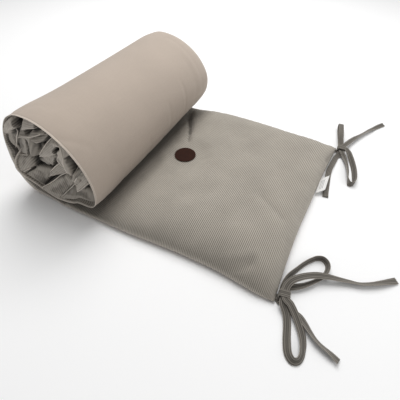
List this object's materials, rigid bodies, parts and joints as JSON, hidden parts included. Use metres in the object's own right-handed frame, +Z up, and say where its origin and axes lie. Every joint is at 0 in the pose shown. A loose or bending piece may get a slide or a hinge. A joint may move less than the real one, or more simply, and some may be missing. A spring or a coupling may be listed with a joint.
{
  "type": "rolled crib bumper",
  "caption": "Filled crib bumper in corduroy with a plain cotton back, partly rolled up, with a round leather patch and a bow of ties at each corner of its open end.",
  "frame": {"origin": "middle of the box round pad, patch and label, on the surface that the bumper lies on", "axes": "+X from the roll to the tied end, +Y across the bumper to its far long seam, +Z up"},
  "size_m": [0.51, 0.4832, 0.1407],
  "materials": {
    "corduroy": "fine-wale cotton corduroy, grey taupe; plain cotton back in a warmer taupe",
    "leather": "smooth matt dark brown",
    "white_tape": "smooth white satin tape"
  },
  "bodies": {
    "root": {"bumper_pad": "corduroy", "leather_patch": "leather", "care_label": "white_tape", "near_loop_tie": "corduroy", "near_wrap_tie": "corduroy", "far_loop_tie": "corduroy", "far_wrap_tie": "corduroy"}
  },
  "joints": []
}
